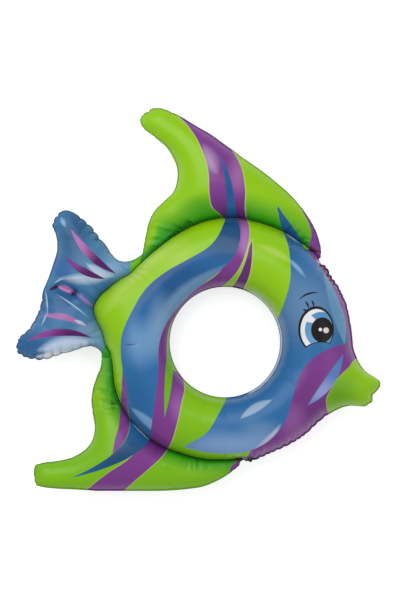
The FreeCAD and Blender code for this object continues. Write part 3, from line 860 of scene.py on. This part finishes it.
# purple cheek and forehead, with painted shade in two creases and painted glints
cheek_left = body.edge((-262, 70), (-246, 12), (-235, 11), (-222, 27), (-212, 43), (-203, 48), (-198, 58),
                       (-190, 73), (-180, 86), (-170, 96), (-160, 104), (-140, 115), (-120, 121),
                       (-100, 127), (-80, 132), (-60, 140), (-40, 153), (-25, 170), (-15, 186), (-8, 204),
                       (-2, 226), (6, 300))
forehead_left = body.edge((-30, 240), (0, 231), (40, 226), (60, 220), (80, 212), (100, 203), (120, 192),
                          (140, 179), (155, 166), (176, 158), (200, 162), (215, 160), (246, 146), (262, 138))
cheek = layered(
    purple,
    (body.glow(150, -120, 60, 80, 0.3), deep_purple),
    (body.glow(128, -150, 30, 40, 0.3), pale_purple))
colour = layered(
    colour,
    (x.past(cheek_left) * x.past(0, 2), cheek),
    (x.past(forehead_left, 2) * y.past(-28, 3),
     body.glow(194, 128, 30, 34, 1.2).over(purple, ink(96, 24, 88))),
    # painted shade in the chin's crease by the weld and in the crease at the dorsal fin's front end
    (body.glow(42, -219, 32, 7, 1.3), ink(40, 6, 40)),
    (body.leaf((182, 169.5), (148, 173), 5, 0, 2), ink(52, 10, 52)),
    # painted glints at the forehead's corner and on the weld beside the dorsal fin
    (body.leaf((170, 151), (190, 145), 4, 1, 2), ink(226, 220, 236)),
    (body.leaf((110, 207), (144, 183), 2.4, -1, 1.5), glint))

# green snout, and the pale blue leaf between it and the cheek
snout_left = body.edge((-150, 202), (-133, 195), (-120, 191), (-105, 190), (-90, 197), (-70, 208),
                       (-60, 217), (-45, 233), (-33, 243), (-20, 300))
colour = layered(
    colour,
    (x.past(snout_left - 1.6), ink(190, 160, 120)),
    (x.past(snout_left), body.glow(208, -96, 50, 50, 0.9).over(lime, ink(104, 172, 10))),
    (body.leaf((153, -118), (221, -20), 19, -8),
     body.glow(185, -95, 40, 30, 0.7).over(ink(84, 130, 196), ink(176, 178, 232))))

# the eye, with its lid, lashes and brow; the round below cuts its lower edge
below = body.reach(180, -48)
lid = body.round(169.5, 24.5, 33.2, 0.775) * below.past(48)
ball = body.round(170.3, 23.2, 29.8, 0.765) * below.past(50)
iris = body.glow(176, 10, 40, 40, 0.4).over(ink(84, 152, 204), ink(140, 190, 228))
colour = layered(
    colour,
    (lid, dark),
    (ball, white),
    (ball * body.round(178.6, 23.5, 30, 0.9), iris),
    (ball * body.leaf((138, 50), (172, 37), 13, 1), white),
    (lid * body.round(180.6, 23.2, 20.6, 0.88), dark),
    (body.round(177.3, 24, 3.2), white),
    (body.round(188, 22.5, 5.3), ink(236, 222, 222)),
    (body.leaf((152, 57), (144, 61), 3.6, -1.4), dark),
    (body.leaf((156, 62), (148, 78), 3.6, -1.4), dark),
    (body.leaf((165, 65), (160, 80), 3.6, -1.4), dark),
    (body.leaf((134, 76), (178, 92), 3.4, 6.5), dark))

# clear film by the opening where the print stops short, at the head; painted shade and light along the inner
# welds
clear = (110 - body.reach(0, 0)).past(2.4, 1.5) * x.past(46, 12)
colour = (clear * 0.85).over(colour, ink(226, 232, 238))
# painted light: the ring's side of a fin's weld is lightened
painted_light_beside_fin = x.math("MULTIPLY_ADD", body.inner_gap, 1 / 11, 1.1, clamp=True) * (1 - on_fin)
# painted shade: the fins' side of the inner welds is darkened, less in the stripes
colour = (painted_shade_at_weld * (0.5 - 0.3 * (in_purple + in_blue))).over(colour, (0.20, 0.26, 0.22, 1), "MULTIPLY")
body.finish((painted_light_beside_fin * 0.3).over(colour, ink(96, 120, 30), "SCREEN"))
for piece in (ring, dorsal, anal):
    piece.data.materials.append(body.material)

# the tail: blue, with purple leaves, pale ones under them and painted glints along its creases
fan = Press("tail_film")
painted_glints = [(fan.leaf(start, end, 2.6, bow, 1.5), glint) for start, end, bow in (
    ((-322, 108), (-298, 120), 2), ((-337, 102), (-331, 48), 1), ((-331, 58), (-344, 28), 0),
    ((-318, 92), (-250, 42), 2))]
pinches = [(fan.leaf(start, end, wide, 0), ink(52, 16, 76)) for start, end, wide in (
    ((-330, 97), (-310, 106), 6), ((-290, 96), (-276, 86), 4), ((-278, 97), (-288, 86), 3))]
fan.finish(layered(
    fan.noise(16.0, 1.0).past(0.5, 0.3).over(ink(58, 112, 172), ink(76, 138, 176)),
    (fan.glow(-280, 206, 36, 62, 0.9), ink(28, 80, 132)),
    (fan.glow(-300, 82, 60, 34, 0.8), ink(36, 92, 146)),
    (fan.glow(-262, 22, 24, 20, 0.6), ink(140, 160, 200)),
    (fan.glow(-372, -4, 40, 30, 0.7), deep_blue),
    (fan.leaf((-316, 121), (-192, 134), 18, -8, 10) * 0.7, foam),
    (fan.leaf((-262, 150), (-204, 122), 15, -5, 6) * 0.75, foam),
    (fan.leaf((-232, 142), (-190, 136), 14, 2, 8), pale_blue),
    (fan.leaf((-356, -16), (-238, 2), 32, 0, 14) * 0.95, ink(206, 224, 250)),
    (fan.leaf((-360, -28), (-270, -20), 14, 0, 5), ink(232, 236, 244)),
    # painted glint at the tail's top
    (fan.leaf((-308, 236), (-298, 214), 8, 0, 4), pale_blue),
    (fan.glow(-234, 12, 26, 40, 0.7), ink(124, 172, 200)),
    (fan.glow(-202, 150, 34, 44, 0.8), ink(132, 172, 216)),
    (fan.leaf((-289, 213), (-202, 127), 15, -9),
     fan.glow(-218, 140, 56, 56, 1.3).over(ink(178, 106, 180), deep_purple)),
    (fan.leaf((-300, 161), (-222, 118), 13, -7), fan.glow(-236, 122, 50, 36, 1.3).over(purple, deep_purple)),
    (fan.leaf((-346, 48), (-260, 29), 12, 9, 2), ink(170, 112, 178)),
    (fan.leaf((-284, 42), (-258, 30), 6, 1, 3), ink(196, 208, 232)),
    (fan.leaf((-372, 1), (-248, 8), 14, 14),
     fan.glow(-270, 14, 66, 20, 1.2).over(ink(150, 70, 158), deep_purple)),
    (fan.leaf((-317, 106), (-278, 91), 11, 1, 3), ink(214, 150, 206)),
    (fan.leaf((-284, 94), (-242, 62), 5, 1, 5), ink(166, 120, 184)),
    *pinches,
    *painted_glints,
    ((fan.x * 0.91 - fan.y * 0.41).past(-201.5, 2), ink(44, 150, 26)),
    (fan.x.past(-177, 2), ink(104, 184, 14))))
tail.data.materials.append(fan.material)


# ------------------------------------------------------------------ the valves
# One soft vinyl valve in the back of the ring and one in the dorsal fin. A welded round pad holds
# the stem in the film, the stopper plugs the stem, and a thin strap moulded with both keeps it.

vinyl = Finish("milky_vinyl")
haze = vinyl.noise(260.0, 2.0)
mould_marks = haze.node("ShaderNodeBump", {"Height": haze, "Strength": 0.2, "Distance": 0.0003})
vinyl.feed("Base Color", haze.over(ink(206, 212, 214), ink(236, 238, 240)))
vinyl.feed("Roughness", haze * 0.2 + 0.3)
vinyl.feed("Normal", mould_marks)


def vinyl_piece(name, mesh, seat):
    """A piece of vinyl from a mesh in the valve's own directions."""
    bmesh.ops.recalc_face_normals(mesh, faces=mesh.faces)
    for point in mesh.verts:
        point.co = seat.at(*point.co)
    piece = as_piece(name, mesh)
    piece.data.materials.append(vinyl.material)
    return piece


for valve, seat in (("ring", ring_seat), ("fin", fin_seat)):
    # the moving pieces are the solids themselves, in the same vinyl
    for part in ("stem", "stopper", "flap"):
        for kept in bpy.data.objects[valve + "_valve_" + part].material_slots:
            kept.material = vinyl.material

    pad = bmesh.new()
    profile = [(0.0050, -0.0003), (0.0050, 0.0008), (0.0088, 0.0008), (0.0092, 0.0010), (0.0104, 0.0010),
               (0.0108, 0.0008), (0.0124, 0.0007), (0.0129, 0.0004), (PAD_RADIUS, -0.0003)]
    corners = [pad.verts.new((reach, 0, height)) for reach, height in profile]
    sides = [pad.edges.new((corners[k], corners[(k + 1) % len(corners)])) for k in range(len(corners))]
    bmesh.ops.spin(pad, geom=corners + sides, cent=(0, 0, 0), axis=(0, 0, 1), angle=math.tau, steps=64,
                   use_merge=True)
    pad_piece = vinyl_piece(valve + "_pad", pad, seat)
    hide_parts(valve + "_valve_pad")
    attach(pad_piece, "float")

    # a ribbon that leaves the stem low, turns at the bend and comes back high to the stopper
    strap = bmesh.new()
    low, high, leg, bend, thick = 0.0012, 0.0026, 0.0077, 0.0150, 0.0007
    half_width, waist = 0.0018, 0.0004
    ribbon = bmesh.ops.create_grid(strap, x_segments=40, y_segments=4, size=0.5)["verts"]
    half_turn = math.pi * (high - low) / 2
    total = 2 * (bend - leg) + half_turn
    for point in ribbon:
        run_here = (point.co.x + 0.5) * total
        turn = min(max((run_here - (bend - leg)) / half_turn, 0), 1) * math.pi
        out_to = leg + min(run_here, bend - leg) - max(run_here - (bend - leg) - half_turn, 0)
        half_here = half_width - waist * math.sin(math.pi * (point.co.x + 0.5))
        point.co = (out_to + math.sin(turn) * (high - low) / 2, 2 * half_here * point.co.y,
                    (low + high) / 2 - math.cos(turn) * (high - low) / 2)
    bmesh.ops.solidify(strap, geom=strap.faces[:], thickness=thick)
    strap_piece = vinyl_piece(valve + "_strap", strap, seat)
    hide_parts(valve + "_valve_strap")
    tuple(seat.at(bend, 0, low))
    tuple(seat.at(bend, 0, high))
    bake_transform(strap_piece)


# ------------------------------------------------------------------ studio
# A white table under the float, one wide soft light above it on the left, a faint one on the right
# and a weak even world. The table looks white wherever it is seen, also in reflections, and keeps
# the float's soft shadow.

top = bmesh.new()
bmesh.ops.create_grid(top, x_segments=1, y_segments=1, size=4)
bmesh.ops.translate(top, verts=top.verts, vec=(0, 0, solid_box[0][2] - 0.001))
table = as_piece("table", top)
paper = Finish("white_table")
seen = paper.place.node("ShaderNodeLightPath", {}, "Is Camera Ray")
seen = seen.math("ADD", seen + seen.beside("Is Glossy Ray"), seen.beside("Is Transmission Ray"), clamp=True)
lit, unlit = (0.62, 0.62, 0.62, 1), (0, 0, 0, 1)
paper.shader.inputs["Base Color"].default_value = (0.8, 0.8, 0.8, 1)
paper.shader.inputs["Roughness"].default_value = 0.9
paper.shader.inputs["Emission Strength"].default_value = 1
paper.feed("Emission Color", seen.over(unlit, lit))
table.data.materials.append(paper.material)

camera = bpy.data.objects.new("camera", bpy.data.cameras.new("camera"))
bpy.context.scene.collection.objects.link(camera)
camera.data.sensor_fit = "VERTICAL"
camera.data.sensor_height = 36
camera_height, view_height = 7.0, 1.125
camera.data.lens = camera.data.sensor_height * camera_height / view_height
camera.data.clip_end = 40
camera.location = (-0.0465, 0.0789, camera_height)
bpy.context.scene.camera = camera

# the wide light and the faint one: (place, size, power)
for place, size, power in (((-0.75, 1.2, 2.3), 2.3, 34), ((1.6, -0.6, 2.0), 1.8, 6)):
    lamp = bpy.data.objects.new("soft_light", bpy.data.lights.new("soft_light", "AREA"))
    lamp.data.size = size
    lamp.data.energy = power
    lamp.location = place
    lamp.rotation_euler = Vector(place).to_track_quat("Z", "Y").to_euler()
    bpy.context.scene.collection.objects.link(lamp)

world = bpy.data.worlds.new("studio")
bpy.context.scene.world = world
world.use_nodes = True
world.node_tree.nodes["Background"].inputs["Color"].default_value = (1, 1, 1, 1)
world.node_tree.nodes["Background"].inputs["Strength"].default_value = 0.5
bpy.context.scene.view_settings.view_transform = "Standard"
